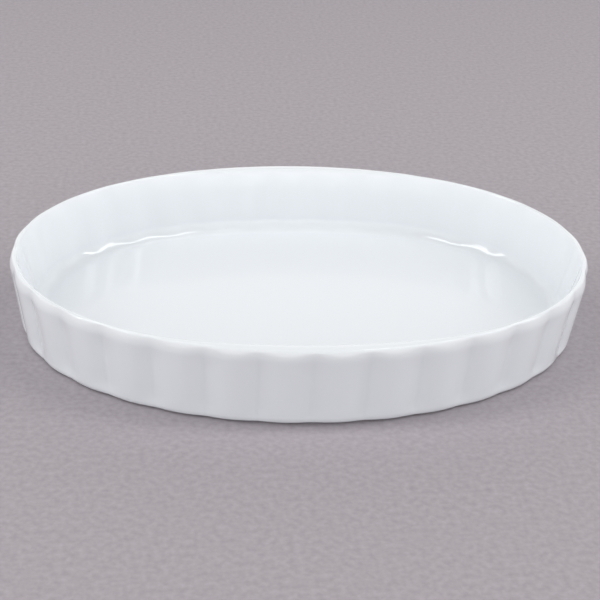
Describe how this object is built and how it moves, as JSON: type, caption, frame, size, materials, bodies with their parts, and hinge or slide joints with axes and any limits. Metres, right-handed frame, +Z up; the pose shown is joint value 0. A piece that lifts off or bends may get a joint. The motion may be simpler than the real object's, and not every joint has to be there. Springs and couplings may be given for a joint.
{
  "type": "fluted oval dish",
  "caption": "Shallow oval baking dish in glazed white porcelain, with a flat floor, a low flared wall fluted on its outside, a round plain lip and an unglazed foot ring.",
  "frame": {"origin": "under the middle of the dish, on the surface that its foot ring stands on", "axes": "+X along the long way of the oval, +Y along its short way, away from the picture's camera, +Z up out of the dish's mouth"},
  "size_m": [0.1778, 0.1298, 0.0251],
  "materials": {
    "white_glaze": "glossy, slightly blue-white glaze, thin on edges and deeper in the valleys, with a bare, matt foot ring"
  },
  "bodies": {
    "root": {"fluted_dish": "white_glaze"}
  },
  "joints": []
}
